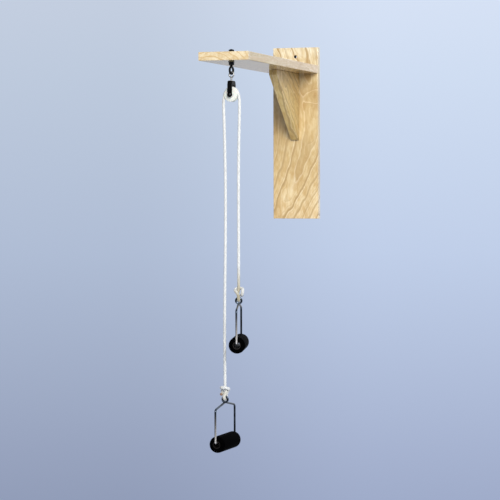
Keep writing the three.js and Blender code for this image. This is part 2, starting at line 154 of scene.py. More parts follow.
def smooth_line(points, spacing):
    """Evenly spaced points on the centripetal curve through the given ones"""
    steps = 16
    points = [Vector(p) for p in points]
    padded = [2 * points[0] - points[1], *points, 2 * points[-1] - points[-2]]
    fine = []
    for p, a, b, q in zip(padded, padded[1:], padded[2:], padded[3:]):
        before, here, after = (math.sqrt((v - u).length) for u, v in ((p, a), (a, b), (b, q)))
        leave = ((a - p) / before - (b - p) / (before + here) + (b - a) / here) * here
        enter = ((b - a) / here - (q - a) / (here + after) + (q - b) / after) * here
        for i in range(steps):
            t = i / steps
            bend = (3 * (b - a) - 2 * leave - enter) * t**2
            fine.append(a + leave * t + bend + (2 * (a - b) + leave + enter) * t**3)
    fine.append(points[-1])
    return evenly(fine, spacing)


def evenly(points, spacing):
    """The same line with its points a fixed spacing apart"""
    lengths = [0.0]
    for a, b in zip(points, points[1:]):
        lengths.append(lengths[-1] + (b - a).length)
    count = max(2, round(lengths[-1] / spacing))
    line = []
    i = 0
    for k in range(count + 1):
        target = lengths[-1] * k / count
        while i < len(points) - 2 and lengths[i + 1] < target:
            i += 1
        share = (target - lengths[i]) / max(lengths[i + 1] - lengths[i], 1e-12)
        line.append(points[i].lerp(points[i + 1], min(share, 1)))
    return line


def line_length(line):
    return sum((b - a).length for a, b in zip(line, line[1:]))


def braid_height(turn, run):
    """Height of the braid's surface, 0 in a crossing to 1 on a strand's crown, and the strand's number"""
    u = braid_strands * turn + run / braid_cell
    v = braid_strands * turn - run / braid_cell
    across, along = u % 1 - 0.5, v % 1 - 0.5
    strand = math.floor(u)
    if (math.floor(u) + math.floor(v)) % 2:
        across, along = along, across
        strand = other_way + math.floor(v)
    crown = math.sqrt(1 - strand_fall * (2 * across) ** 2)
    return crown * (1 - strand_dip * (2 * along) ** 2), strand


def between(stops, place):
    """The amount at a place along a rope, from stops of place and amount"""
    for (before, less), (after, more) in zip(stops, stops[1:]):
        if place <= after:
            return less + (more - less) * max(0, place - before) / (after - before)
    return stops[-1][1]


def braided_rings(line, run_start, shade_stops, pressed):
    """The points of a rope's surface, ring by ring, and their marks: how deep each lies in a groove, its
    strand's tone and its painted shade"""
    radius = rope_diameter / 2
    normal = Vector((0, 1, 0))
    points, grooves, tones, painted_shades = [], [], [], []
    along = 0.0
    run = run_start
    for i, place in enumerate(line):
        ahead = line[min(i + 1, len(line) - 1)]
        behind = line[max(i - 1, 0)]
        tangent = (ahead - behind).normalized()
        normal = (normal - tangent * normal.dot(tangent)).normalized()
        other = tangent.cross(normal)
        step = (place - behind).length
        run += step
        along += step
        painted_shade = between(shade_stops, along)
        spread = pressed * min(1, along / knot_swell_run)
        for k in range(braid_sides):
            turn = k / braid_sides
            height, strand = braid_height(turn, run)
            reach = radius - braid_relief * (1 - height) + spread
            angle = turn * full_turn
            points.append(place + (normal * math.cos(angle) + other * math.sin(angle)) * reach)
            grooves.append(1 - height)
            tones.append((abs(strand + 0.5) * tone_spread) % 1)
            painted_shades.append(painted_shade)
    return points, (grooves, tones, painted_shades)


def rope_faces(rings):
    """The faces between a rope's rings, and one at each end"""
    faces = [tuple(reversed(range(braid_sides)))]
    for i in range(rings - 1):
        low = i * braid_sides
        for k in range(braid_sides):
            m = (k + 1) % braid_sides
            faces.append((low + k, low + m, low + braid_sides + m, low + braid_sides + k))
    last = (rings - 1) * braid_sides
    faces.append(tuple(range(last, last + braid_sides)))
    return faces


def braided_rope(name, line, run_start, shade_stops, pressed=0.0):
    """A rope with its braid as real relief, along an evenly spaced line. run_start is the rope's length
    before it, the stops of place and amount after it give the painted shade that greys it, and pressed
    is how far its bends spread it"""
    points, marks = braided_rings(line, run_start, shade_stops, pressed)
    mesh = bpy.data.meshes.new(name)
    mesh.from_pydata(points, [], rope_faces(len(line)))
    mesh.shade_smooth()
    mesh.set_sharp_from_angle(angle=math.radians(75))
    for label, values in zip(rope_marks, marks):
        mesh.attributes.new(label, "FLOAT", "POINT").data.foreach_set("value", values)
    piece = bpy.data.objects.new(name, mesh)
    bpy.context.scene.collection.objects.link(piece)
    return piece


def whole_rope_line():
    """The rope's line from the right knot up over the sheave and down to the left knot"""
    points = list(reversed(right_route))
    points += [(x, axle_place.z + rise) for x, rise in reversed(beside_sheave)]
    for i in range(arc_steps + 1):
        angle = rope_leaves + i / arc_steps * (math.pi - 2 * rope_leaves)
        points.append((pitch_radius * math.cos(angle), axle_place.z + pitch_radius * math.sin(angle)))
    points += [(-x, axle_place.z + rise) for x, rise in beside_sheave]
    points += left_route
    return smooth_line([(x, axle_place.y, z) for x, z in points], braid_step)


def knot_line(place):
    """The knot's line: down, round the eye's wire, up behind, across the front and out at one side"""
    points = [(0, 0, rope_gap), *knot_down[1:]]
    loop_radius = wire_diameter / 2 + eye_rope_gap + rope_diameter / 2
    loop_steps = 6
    for i in range(loop_steps + 1):
        angle = i / loop_steps * math.pi
        drop = -knot_to_eye - loop_radius * math.sin(angle)
        points.append((0, -loop_radius * math.cos(angle), drop))
    points += knot_up
    return smooth_line([place @ Vector(p) for p in points], braid_step)


def handle_place(name):
    """Where a handle hangs: its rope comes down the Z axis and its grip lies along Y"""
    axis = Vector(joints[name + "_grip_roll"]["axis"])
    turn = math.atan2(-axis.x, axis.y)
    return Matrix.Translation(joints[name + "_handle_twist"]["pos_m"]) @ Matrix.Rotation(turn, 4, "Z")


places = {name: handle_place(name) for name in ("left", "right")}

# Colours and nodes


def linear(colour):
    """An sRGB hex colour as linear red, green, blue and alpha"""
    parts = [int(colour[i:i + 2], 16) / 255 for i in (1, 3, 5)]
    return (*(c / 12.92 if c <= 0.04045 else ((c + 0.055) / 1.055) ** 2.4 for c in parts), 1)


def set_inputs(tree, node, inputs):
    """Gives a node's or a shader's sockets their values or links"""
    for name, value in inputs.items():
        if isinstance(value, bpy.types.NodeSocket):
            tree.links.new(value, node.inputs[name])
        else:
            node.inputs[name].default_value = value


def add_node(tree, kind, settings=None, inputs=None, stops=None, out=0):
    """Adds a node with its settings, its inputs and a ramp's stops, and gives one output, or all of them"""
    node = tree.nodes.new("ShaderNode" + kind)
    for name, value in (settings or {}).items():
        setattr(node, name, value)
    set_inputs(tree, node, inputs or {})
    if stops:
        ramp = node.color_ramp
        while len(ramp.elements) < len(stops):
            ramp.elements.new(1)
        for element, (place, colour) in zip(ramp.elements, stops):
            element.position = place
            element.color = linear(colour)
    return node.outputs if out is None else node.outputs[out]


# What the nodes are set to
plus = {"operation": "ADD"}
minus = {"operation": "SUBTRACT"}
times = {"operation": "MULTIPLY"}
times_plus = {"operation": "MULTIPLY_ADD"}
blended = {"data_type": "RGBA"}
darkened = {"data_type": "RGBA", "blend_type": "MULTIPLY"}
between_values = {"data_type": "FLOAT"}
soft_step = {"interpolation_type": "SMOOTHSTEP"}


def new_material(name):
    """A material with its node tree, its shader and the piece's own coordinates in metres"""
    material = bpy.data.materials.new(name)
    material.use_nodes = True
    tree = material.node_tree
    return material, tree, tree.nodes["Principled BSDF"], add_node(tree, "TexCoord", out="Object")


def per_metre(millimetres):
    """A noise scale whose grain is that many millimetres across"""
    return 1000 / millimetres


def span(tree, first, second):
    """How far two offsets at right angles reach together"""
    both = add_node(tree, "CombineXYZ", inputs={0: first, 1: second})
    return add_node(tree, "VectorMath", {"operation": "LENGTH"}, {0: both}, out="Value")


def from_pith(tree, across, into, along, sweep, pith_depth, taper):
    """How far the wood is from its pith, whose line bows, so that the rings sweep over the board's face
    and run together towards one end"""
    slope, rounding, centre, pith_place = sweep
    off = add_node(tree, "Math", minus, {0: along, 1: centre})
    swept = add_node(tree, "Math", times_plus, {0: span(tree, off, rounding), 1: slope, 2: across})
    beside = add_node(tree, "Math", minus, {0: swept, 1: pith_place + slope * rounding})
    behind = add_node(tree, "Math", plus, {0: into, 1: pith_depth})
    return add_node(tree, "Math", times_plus, {0: along, 1: -taper, 2: span(tree, beside, behind)})


def round_knot(tree, line, across, along, knot):
    """Bends the rings round a knot, with its place across and along, its reach and its lift"""
    knot_across, knot_along, knot_reach, knot_lift = knot
    aside = add_node(tree, "Math", minus, {0: across, 1: knot_across})
    above = add_node(tree, "Math", minus, {0: along, 1: knot_along})
    swell = add_node(tree, "MapRange", soft_step, {
        "Value": span(tree, aside, above), "From Max": knot_reach, "To Min": knot_lift, "To Max": 0,
    })
    return add_node(tree, "Math", plus, {0: line, 1: swell})


def waved(tree, line, long_grain):
    """Gives every ring slow waves and a small quiver, each millimetres long and metres high"""
    for size, height in ((60, 0.018), (15, 0.0075), (5, 0.0015)):
        wave = add_node(
            tree, "TexNoise", inputs={"Vector": long_grain, "Scale": per_metre(size), "Detail": 2}
        )
        line = add_node(tree, "Math", times_plus, {0: wave, 1: height, 2: line})
    return line


def year_rings(tree, line, ring_width):
    """How dark the late wood is and how pale the early wood. Each year rises softly to a dark line that
    stops at once at the next year's pale wood. Some years are strong, others faint, and fainter lines
    lie between them"""
    faint_spacing = 0.29
    faint_strength = 0.45
    least_growth = 0.4
    dark = pale = None
    for width, strongest in ((ring_width, 1.0), (ring_width * faint_spacing, faint_strength)):
        rings = add_node(tree, "Math", {"operation": "DIVIDE"}, {0: line, 1: width})
        part = add_node(tree, "Math", {"operation": "FRACT"}, {0: rings})
        late = add_node(
            tree, "ValToRGB", inputs={0: part},
            stops=[(0, "#000000"), (0.5, "#0C0C0C"), (0.68, "#464646"), (0.82, "#F0F0F0"),
                   (0.94, "#FFFFFF"), (0.985, "#000000")],
        )
        early = add_node(
            tree, "ValToRGB", inputs={0: part},
            stops=[(0, "#FFFFFF"), (0.07, "#B0B0B0"), (0.16, "#000000"), (0.985, "#000000"),
                   (1, "#FFFFFF")],
        )
        year = add_node(tree, "Math", {"operation": "FLOOR"}, {0: rings})
        growth = add_node(tree, "TexWhiteNoise", {"noise_dimensions": "1D"}, {"W": year})
        strength = add_node(tree, "MapRange", inputs={
            "Value": growth, "To Min": least_growth * strongest, "To Max": strongest,
        })
        shades = []
        for shade, sum_before in ((late, dark), (early, pale)):
            faded = add_node(tree, "Math", times, {0: shade, 1: strength})
            if sum_before:
                faded = add_node(tree, "Math", {**plus, "use_clamp": True}, {0: sum_before, 1: faded})
            shades.append(faded)
        dark, pale = shades
    return dark, pale


def clouded_ground(tree, along, long_grain, ground):
    """The wood between the lines, from the tones given at places along the board, which on the backboard
    also paint light and shade, with soft darker clouds
    """
    first, last = ground[0][0], ground[-1][0]
    run = add_node(tree, "MapRange", inputs={"Value": along, "From Min": first, "From Max": last})
    stops = [((place - first) / (last - first), tone) for place, tone in ground]
    wood = add_node(tree, "ValToRGB", inputs={0: run}, stops=stops)
    for size, deep in ((38, "#E6DAC4"), (7, "#EFE4D0")):
        cloud = add_node(
            tree, "TexNoise", inputs={"Vector": long_grain, "Scale": per_metre(size), "Detail": 3}
        )
        clouded = add_node(tree, "ValToRGB", inputs={0: cloud}, stops=[(0.36, deep), (0.6, "#FFFFFF")])
        wood = add_node(tree, "Mix", darkened, {0: 1, 6: wood, 7: clouded}, out=2)
    return wood


def beyond_bore(tree, coordinates, bore):
    """0 in a bore through the board, at its radius and height, and 1 on the wood round it"""
    bore_radius, bore_height = bore
    rim = 0.0003
    x, y, z = add_node(tree, "SeparateXYZ", inputs={0: coordinates}, out=None)
    rise = add_node(tree, "Math", minus, {0: z, 1: bore_height})
    return add_node(tree, "MapRange", inputs={
        "Value": span(tree, x, rise), "From Min": bore_radius, "From Max": bore_radius + rim,
    })


def planed_pine(
    name, grain, sweep, pith_depth, taper, ring_width, line_tone, gloss, ground, bore=None, knot=None
):
    """Flat-sawn pine, planed and varnished: its late wood shows as long swept lines with pale early wood
    beyond them, under a clear gloss. grain is the directions across, into and along the board, sweep is
    the bow's slope, its round, its middle and the pith's place, and taper is how much the rings narrow
    along the board"""
    material, tree, shader, coordinates = new_material(name)
    turn = Matrix(grain).to_euler()
    board = add_node(tree, "Mapping", inputs={"Vector": coordinates, "Rotation": turn})
    across, into, along = add_node(tree, "SeparateXYZ", inputs={0: board}, out=None)
    long_grain = add_node(tree, "Mapping", inputs={"Vector": board, "Scale": (1, 1, 0.4)})
    line = from_pith(tree, across, into, along, sweep, pith_depth, taper)
    if knot:
        line = round_knot(tree, line, across, along, knot)
    dark, pale = year_rings(tree, waved(tree, line, long_grain), ring_width)
    wood = clouded_ground(tree, along, long_grain, ground)

    # Fibres, drawn about twice as coarse as real ones, so that they show
    fibre_from = add_node(tree, "Mapping", inputs={"Vector": board, "Scale": (1, 1, 0.03)})
    fibres = add_node(
        tree, "TexNoise", inputs={"Vector": fibre_from, "Scale": per_metre(1.2), "Detail": 4}
    )
    streak = add_node(tree, "MapRange", inputs={"Value": fibres, "From Min": 0.3, "From Max": 0.75})
    wood = add_node(tree, "Mix", darkened, {0: streak, 6: wood, 7: linear("#F1E6D2")}, out=2)
    lifted = add_node(tree, "Math", times, {0: pale, 1: 0.4})
    for share, tone in ((lifted, "#F7EBCF"), (dark, line_tone)):
        wood = add_node(tree, "Mix", blended, {0: share, 6: wood, 7: linear(tone)}, out=2)
    rough = add_node(tree, "MapRange", inputs={"Value": fibres, "To Min": 0.38, "To Max": 0.55})
    set_inputs(tree, shader, {"Coat Weight": gloss, "Coat Roughness": 0.11})
    # Inside the bore the wood is painted near black: painted shade in the deep hole. It is also matt and
    # unvarnished there
    if bore:
        on_wood = beyond_bore(tree, coordinates, bore)
        wood = add_node(tree, "Mix", blended, {0: on_wood, 6: linear("#140C06"), 7: wood}, out=2)
        rough = add_node(tree, "Mix", between_values, {0: on_wood, 2: 1.0, 3: rough})
        varnish = add_node(tree, "Math", times, {0: on_wood, 1: gloss})
        set_inputs(tree, shader, {"Coat Weight": varnish})
    bump = add_node(tree, "Bump", inputs={"Strength": 0.15, "Distance": 0.0002, "Height": fibres})
    set_inputs(tree, shader, {"Base Color": wood, "Roughness": rough, "Normal": bump})
    return material


def braided_polyester():
    """White polyester braid: soft and matt, with a faint sheen, and painted shade in its crossings and on
    its knots. Its yarn is drawn much coarser than real filaments, so that it shows"""
    material, tree, shader, coordinates = new_material("braided_polyester")
    groove, tone, painted_shade = (
        add_node(tree, "Attribute", {"attribute_name": label}, out="Fac") for label in rope_marks
    )
    strand = add_node(
        tree, "ValToRGB", inputs={0: tone}, stops=[(0, "#CBD0D4"), (0.5, "#D8DDE1"), (1, "#E6EAED")]
    )
    # The braid's crossings are greyed in patches: painted shade in its crevices
    shade = add_node(tree, "MapRange", inputs={"Value": groove, "From Min": 0.2, "From Max": 0.95})
    shade_patches = add_node(
        tree, "TexNoise", inputs={"Vector": coordinates, "Scale": per_metre(14), "Detail": 3}
    )
    crossing_shade = add_node(tree, "Math", times, {0: shade, 1: shade_patches})
    colour = add_node(tree, "Mix", blended, {0: crossing_shade, 6: strand, 7: linear("#8E8F90")}, out=2)
    # Greyed where marked: painted shade on the knots and on the rope next to them
    colour = add_node(tree, "Mix", blended, {0: painted_shade, 6: colour, 7: linear("#A6A08A")}, out=2)
    yarn = add_node(
        tree, "TexNoise", inputs={"Vector": coordinates, "Scale": per_metre(0.5), "Detail": 2}
    )
    bump = add_node(tree, "Bump", inputs={"Strength": 0.3, "Distance": 0.0001, "Height": yarn})
    set_inputs(tree, shader, {
        "Base Color": colour, "Normal": bump, "Roughness": 0.85, "Sheen Weight": 0.25,
    })
    return material


def nickel_plated_wire():
    """Nickel plated wire: a mirror darkened in patches, which paints dark reflections, and pale and rougher
    near the front foot, a painted highlight
    """
    material, tree, shader, coordinates = new_material("nickel_plated_wire")
    painted_highlight = add_node(tree, "Attribute", {"attribute_name": "painted_highlight"}, out="Fac")
    patches = add_node(
        tree, "TexNoise", inputs={"Vector": coordinates, "Scale": per_metre(14), "Detail": 4}
    )
    # Dark blue-grey tones in patches for the mirror: painted dark reflections
    darkened_mirror = add_node(
        tree, "ValToRGB", inputs={0: patches}, stops=[(0.35, "#20262F"), (0.65, "#4E5A68")]
    )
    # Pale where marked: a painted highlight on the lower front leg
    tint = add_node(tree, "Mix", blended, {0: painted_highlight, 6: darkened_mirror, 7: linear("#E9E6E3")}, out=2)
    rough = add_node(tree, "MapRange", inputs={"Value": painted_highlight, "To Min": 0.16, "To Max": 0.42})
    set_inputs(tree, shader, {"Base Color": tint, "Roughness": rough, "Metallic": 1})
    return material


def skinned_foam():
    """Black closed-cell nitrile foam with a moulded skin: nearly matt, with small pits, drawn about
    three times as coarse as real ones, so that they show"""
    material, tree, shader, coordinates = new_material("skinned_nitrile_foam")
    pits = add_node(
        tree, "TexVoronoi", inputs={"Vector": coordinates, "Scale": per_metre(1.4), "Randomness": 1}
    )
    waves = add_node(
        tree, "TexNoise", inputs={"Vector": coordinates, "Scale": per_metre(11), "Detail": 4}
    )
    colour = add_node(tree, "ValToRGB", inputs={0: waves}, stops=[(0.3, "#010101"), (0.7, "#030304")])
    rough = add_node(tree, "MapRange", inputs={"Value": waves, "To Min": 0.42, "To Max": 0.6})
    bump = add_node(tree, "Bump", inputs={"Strength": 0.35, "Distance": 0.0002, "Height": pits})
    set_inputs(tree, shader, {
        "Base Color": colour, "Roughness": rough, "Normal": bump, "Specular IOR Level": 0.002,
    })
    return material


def mottled(name, grain, detail, tones, constants, rough=None, relief=None):
    """A material whose colour drifts through its tones in patches of grain millimetres. constants go
    straight to the shader, rough runs with the patches, and relief is a bump's strength and depth"""
    material, tree, shader, coordinates = new_material(name)
    patches = add_node(
        tree, "TexNoise", inputs={"Vector": coordinates, "Scale": per_metre(grain), "Detail": detail}
    )
    finish = {"Base Color": add_node(tree, "ValToRGB", inputs={0: patches}, stops=tones), **constants}
    if rough:
        smooth, crossing_shade = rough
        finish["Roughness"] = add_node(
            tree, "MapRange", inputs={"Value": patches, "To Min": smooth, "To Max": crossing_shade}
        )
    if relief:
        strength, depth = relief
        finish["Normal"] = add_node(
            tree, "Bump", inputs={"Strength": strength, "Distance": depth, "Height": patches}
        )
    set_inputs(tree, shader, finish)
    return material


board_length = 0.4191
board_foot = cad_box[1][2] - board_length
mount_bore = 0.0075
mount_bore_height = cad_box[1][2] - 0.0222
brace_slope = math.radians(-39)
upright = ((1, 0, 0), (0, 1, 0), (0, 0, 1))
outward = ((1, 0, 0), (0, 0, 1), (0, -1, 0))
sloping = ((0, math.sin(brace_slope), -math.cos(brace_slope)), (1, 0, 0),
           (0, math.cos(brace_slope), math.sin(brace_slope)))
backboard_pine = planed_pine(
    "backboard_pine", upright, sweep=(0.55, 0.137, 0.06, 0.046), pith_depth=0.034, taper=0.09,
    ring_width=0.019, line_tone="#B69865", gloss=1, bore=(mount_bore / 2, mount_bore_height),
    knot=(0.045, 0.09, 0.034, 0.03),
    # Along the board its tones darken towards the arm's underside and turn near white above the arm: painted
    # shade under the arm and painted light on the top, over the wood's own tone
    ground=[
        (board_foot, "#F7E9C8"), (board_foot + 0.07, "#F1E2BC"), (board_foot + 0.14, "#E7D7AD"),
        (board_foot + 0.3, "#CEBC92"), (board_foot + 0.365, "#FBFAE6"),
        (board_foot + board_length, "#FCFCEE"),
    ],
)
arm_pine = planed_pine(
    "arm_pine", outward, sweep=(0.1, 0.3, 0.2, -0.02), pith_depth=-0.075, taper=0.03,
    ring_width=0.011, line_tone="#C4A775", gloss=1,
    ground=[(0.019, "#EDD5A9"), (0.3, "#DACAA2"), (0.56, "#CCC399"), (0.578, "#E8E1CA")],
)
gusset_pine = planed_pine(
    "gusset_pine", sloping, sweep=(0.2, 0.2, 0, 0.02), pith_depth=0.03, taper=0.05,
    ring_width=0.013, line_tone="#A08250", gloss=0.3, ground=[(-0.15, "#E0CB8E"), (0.05, "#CAB67C")],
)
rope_braid = braided_polyester()
bright_wire = nickel_plated_wire()
foam = skinned_foam()
# A rope's end melted with a flame: amber to brown, glossy where it ran
rope_end = mottled(
    "melted_polyester", 2.5, 3, [(0.35, "#6E5040"), (0.55, "#96735C"), (0.7, "#C7A994")], {"Roughness": 0.4}
)
# Oxidised steel: a dark even metal with finer and duller patches where it was handled
dark_steel = mottled(
    "oxidised_steel", 4, 4, [(0.3, "#17191C"), (0.7, "#34363A")], {"Metallic": 1}, rough=(0.24, 0.4)
)
# Zinc plate: a pale soft metal, a little cloudy
zinc_steel = mottled(
    "zinc_plated_steel", 5, 4, [(0.3, "#B4B7BA"), (0.7, "#DCDEE0")], {"Metallic": 1}, rough=(0.36, 0.52)
)
# Black stove enamel on a casting: deep black, half glossy, with a faint orange peel
enamel = mottled(
    "stove_enamel", 1.1, 3, [(0.3, "#050506"), (0.75, "#0D0D0F")],
    {"Roughness": 0.3, "Specular IOR Level": 0.05}, relief=(0.3, 0.0001),
)
# Natural white nylon, moulded: a soft even gloss, and light goes a little way into it
nylon = mottled(
    "moulded_nylon", 9, 2, [(0.3, "#CDD2D0"), (0.7, "#DADFDC")],
    {"Roughness": 0.38, "Subsurface Weight": 0.08, "Subsurface Scale": 0.002},
)
# Charcoal moulded polypropylene: matt, with a faint mottle
plastic = mottled(
    "moulded_polypropylene", 3, 3, [(0.3, "#0A0808"), (0.7, "#141010")],
    {"Roughness": 0.55, "Specular IOR Level": 0.2},
)

# Modelling


def finished(piece, name, material, smooth_below=35):
    """Gives a modelled piece its name, material and shading, with its place in its mesh"""
    bpy.ops.object.select_all(action="DESELECT")
    piece.select_set(True)
    bpy.context.view_layer.objects.active = piece
    bpy.ops.object.transform_apply(location=True, rotation=True, scale=True)
    bpy.ops.object.shade_smooth_by_angle(angle=math.radians(smooth_below))
    piece.name = name
    piece.data.materials.clear()
    piece.data.materials.append(material)
    piece.select_set(False)


def closed_up():
    """Welds the points that meet and turns the faces outwards, and ends edit mode"""
    bpy.ops.mesh.select_all(action="SELECT")
    bpy.ops.mesh.remove_doubles(threshold=hair)
    bpy.ops.mesh.normals_make_consistent(inside=False)
    bpy.ops.object.mode_set(mode="OBJECT")


def turned(profile, sides=64, hollow=False):
    """A turned piece about Z: a disc, or a ring where it is hollow, drawn out from ring to ring"""
    radius, height = profile[0]
    fill = "NOTHING" if hollow else "NGON"
    bpy.ops.mesh.primitive_circle_add(vertices=sides, radius=radius, fill_type=fill, location=(0, 0, height))
    piece = bpy.context.object
    bpy.ops.object.mode_set(mode="EDIT")
    for next_radius, next_height in profile[1:]:
        bpy.ops.mesh.extrude_region_move(TRANSFORM_OT_translate={"value": (0, 0, next_height - height)})
        grow = next_radius / radius
        bpy.ops.transform.resize(value=(grow, grow, 1))
        radius, height = next_radius, next_height
    closed_up()
    bpy.ops.object.transform_apply(location=True)
    piece.select_set(False)
    return piece


def moved(piece, matrix):
    """Puts a piece in its place, in its mesh"""
    piece.data.transform(matrix)
    piece.data.update()


def changed(piece, kind, **settings):
    """Gives a piece a modifier with its settings, and applies it"""
    modifier = piece.modifiers.new(kind.lower(), kind)
    for name, value in settings.items():
        setattr(modifier, name, value)
    bpy.context.view_layer.objects.active = piece
    bpy.ops.object.modifier_apply(modifier=modifier.name)


def rounded_by(piece, width, segments):
    """Rounds a piece's sharp edges"""
    sharp_from = math.radians(30)
    changed(piece, "BEVEL", width=width, segments=segments, limit_method="ANGLE", angle_limit=sharp_from)


def combined(piece, other, operation):
    """Joins another piece to one, or cuts it away, and removes the other"""
    changed(piece, "BOOLEAN", operation=operation, solver="EXACT", object=other)
    bpy.data.objects.remove(other)


def along_y(place):
    """The matrix that lays a piece turned about Z along Y at its place"""
    return Matrix.Translation(place) @ Matrix.Rotation(quarter_turn, 4, "X")


def wire_piece(line, diameter, closed=False):
    """A round wire along a line, as a closed mesh"""
    curve = bpy.data.curves.new("wire", "CURVE")
    curve.dimensions = "3D"
    curve.bevel_depth = diameter / 2
    curve.bevel_resolution = 5
    curve.use_fill_caps = not closed
    spline = curve.splines.new("POLY")
    spline.points.add(len(line) - 1)
    for point, place in zip(spline.points, line):
        point.co = (*place, 1)
    spline.use_cyclic_u = closed
    wire = bpy.data.objects.new("wire", curve)
    bpy.context.scene.collection.objects.link(wire)
    wire.select_set(True)
    bpy.context.view_layer.objects.active = wire
    bpy.ops.object.convert(target="MESH")
    bpy.ops.object.mode_set(mode="EDIT")
    closed_up()
    wire.select_set(False)
    return wire


def wire_ring(radius, diameter, height=0, start=0):
    """A ring of round wire in the YZ plane"""
    steps = 48
    ring = []
    for i in range(steps):
        angle = start + full_turn * i / steps
        ring.append(Vector((0, 0, height)) + Vector((0, math.cos(angle), math.sin(angle))) * radius)
    return wire_piece(ring, diameter, closed=True)


def bent_line(corners):
    """A line in the YZ plane through corners, each with the radius of the bend that rounds it"""
    bend_steps = 8
    points = [Vector((0, y, z)) for y, z, bend in corners]
    line = [points[0]]
    for i in range(1, len(points) - 1):
        before = (points[i - 1] - points[i]).normalized()
        after = (points[i + 1] - points[i]).normalized()
        back = corners[i][2] / math.tan(before.angle(after) / 2)
        enter, leave = points[i] + before * back, points[i] + after * back
        for k in range(bend_steps + 1):
            t = k / bend_steps
            line.append(enter * (1 - t) ** 2 + points[i] * 2 * t * (1 - t) + leave * t**2)
    line.append(points[-1])
    return line


# Rope and knots

rope_line = whole_rope_line()
fall_top = left_route[0][1]
over = [i for i, place in enumerate(rope_line) if place.z >= fall_top]
first_over, last_over = over[0], over[-1]

# Painted shade that greys the rope, most on the knots and next to them, as stops from each stretch's start
shaded_stretches = {
    "rope_over_sheave": ((0, 0), (0.09, 0.15)),
    "left_rope_fall": ((0, 0.06), (0.3, 0), (0.61, 0.06)),
    "right_rope_fall": ((0, 0.8), (0.014, 0.6), (0.045, 0), (0.4, 0)),
    "left_knot": ((0, 0), (0.02, 0.45), (0.05, 0.3), (0.07, 0), (0.105, 0), (0.122, 0.8)),
    "right_knot": ((0, 0.8), (0.02, 1), (0.052, 1), (0.07, 0), (0.122, 0.3)),
}


def rope_stretch(name, start, stop, node):
    """One stretch of the rope, between two of its line's points"""
    line = rope_line[start:stop + 1]
    piece = braided_rope(name, line, line_length(rope_line[:start + 1]), shaded_stretches[node])
    piece.data.materials.append(rope_braid)
    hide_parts(node)
    return piece, line


def rope_knot(name, run_start):
    """A handle's knot, with its melted end. Its braid goes on from the fall's"""
    line = knot_line(places[name] @ Matrix.Rotation(knot_turns[name], 4, "Z"))
    shade_stops = shaded_stretches[name + "_knot"]
    piece = braided_rope(name + "_tied_knot", line, run_start, shade_stops, pressed=knot_swell)
    piece.data.materials.append(rope_braid)
    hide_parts(name + "_knot")
    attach(piece, name + "_rope_knot")
    melted_end(name, line)
    return piece


def melted_end(name, line):
    """The lump that the flame leaves on the rope's end"""
    outline = [
        (0.55, -0.9), (0.96, -0.62), (1.0, -0.35), (0.97, -0.12), (0.8, 0.1), (0.45, 0.22), (0.12, 0.25),
    ]
    melt_swell = 1.03
    radius = rope_diameter / 2
    tip = line[-1]
    heading = (tip - line[-6]).normalized()
    lump = turned([(radius * r * melt_swell, radius * h) for r, h in outline], sides=32)
    moved(lump, Matrix.Translation(tip) @ heading.to_track_quat("Z", "Y").to_matrix().to_4x4())
    finished(lump, name + "_melted_end", rope_end, smooth_below=60)
    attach(lump, name + "_rope_knot")


over_sheave = rope_stretch("rope_round_sheave", first_over, last_over, "rope_over_sheave")[0]
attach(over_sheave, "pulley_block")

left_fall, left_line = rope_stretch("left_braided_fall", last_over, len(rope_line) - 1, "left_rope_fall")
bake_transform(left_fall)
left_tied = rope_knot("left", line_length(rope_line))

right_fall, right_line = rope_stretch("right_braided_fall", 0, first_over, "right_rope_fall")
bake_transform(right_fall)
right_tied = rope_knot("right", 0)

# Boards: the CAD solids are right and get their wood

for node, wood in (("backboard", backboard_pine), ("arm_board", arm_pine), ("gusset", gusset_pine)):
    nodes[node].data.materials.clear()
    nodes[node].data.materials.append(wood)

# Screws

screw_length = 0.05
screw_head = 0.0084
screw_head_depth = 0.003
screw_shank = 0.0042
screw_tip = 0.007
screw_point = 0.0003
screw_rim = 0.0003
screw_head_radius = screw_head / 2 - 0.0002  # a little inside the CAD screw's
recess_length = screw_head * 0.55
recess_width = 0.0011
recess_depth = 0.0016
first_driven = 17  # degrees, how the first screw's cross was left
driven_further = 53


def wood_screw():
    """A countersunk wood screw about Z with its head's face at Z 0, and a cross recess"""
    screw = turned([
        (screw_point, -screw_length), (screw_shank / 2, screw_tip - screw_length),
        (screw_shank / 2, -screw_head_depth), (screw_head_radius, -screw_rim), (screw_head_radius, 0),
    ], sides=32)
    for angle in (0, quarter_turn):
        bpy.ops.mesh.primitive_cube_add(
            size=1, scale=(recess_length, recess_width, 2 * recess_depth), rotation=(0, 0, angle)
        )
        blade = bpy.context.object
        bpy.ops.object.transform_apply(location=True, rotation=True, scale=True)
        blade.select_set(False)
        combined(screw, blade, "DIFFERENCE")
    return screw


def screw_in(node, turn):
    """A wood screw in its CAD node's place, its cross turned as the driver left it"""
    low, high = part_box(node)
    screw = wood_screw()
    moved(screw, Matrix.Rotation(turn, 4, "Z"))
    if high.z - low.z > high.y - low.y:
        place = Matrix.Translation(((low.x + high.x) / 2, (low.y + high.y) / 2, high.z))
    else:
        place = Matrix.Translation(((low.x + high.x) / 2, high.y, (low.z + high.z) / 2))
        place = place @ Matrix.Rotation(-quarter_turn, 4, "X")
    moved(screw, place)
    finished(screw, node.replace("screw", "wood_screw"), zinc_steel)
    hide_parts(node)
    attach(screw, "bracket")


screws = (
    "arm_screw_left", "arm_screw_right", "gusset_screw_upper", "gusset_screw_lower", "top_screw_back",
    "top_screw_front",
)
for number, node in enumerate(screws):
    screw_in(node, math.radians(first_driven + driven_further * number))

# Eye bolt and its fastenings

bolt_low, bolt_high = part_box("eye_bolt")
bolt_place = middle("top_washer")
on_bolt = Matrix.Translation((0, bolt_place.y, 0))
bolt_shank = 0.00635
thread_pitch = 0.00127
thread_depth = 0.0006
eye_wire = 0.0048
eye_radius = 0.0076
eye_turn = math.radians(-12)
washer_play = 0.0003
nut_play = 0.0002
nut_edge = 0.00015


